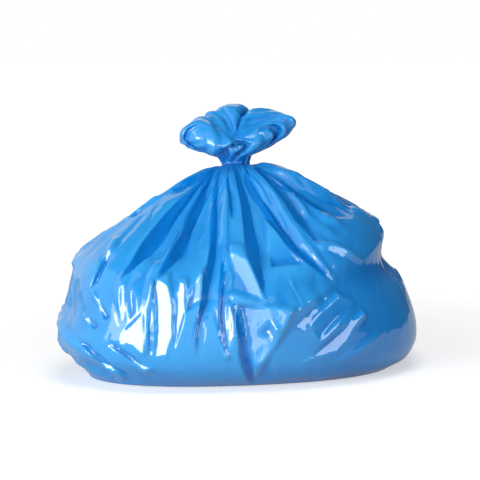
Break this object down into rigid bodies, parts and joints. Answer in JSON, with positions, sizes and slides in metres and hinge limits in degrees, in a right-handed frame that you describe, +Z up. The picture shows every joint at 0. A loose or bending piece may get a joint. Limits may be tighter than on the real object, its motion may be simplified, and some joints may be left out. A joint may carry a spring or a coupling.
{
  "type": "garbage bag",
  "caption": "Filled plastic garbage bag, gathered and twisted shut at the neck with a scrunched mouth above, slumped on a flat base.",
  "frame": {"origin": "on the floor, under the middle of the bag's bounding box", "axes": "+Z up through the gathered neck, +X along the bag's widest direction, -Y the side seen from the front"},
  "size_m": [0.5012, 0.4024, 0.3679],
  "materials": {
    "film": "thin glossy blue polythene film, wrinkled and slightly translucent"
  },
  "bodies": {
    "root": {"garbage_bag": "film"}
  },
  "joints": []
}
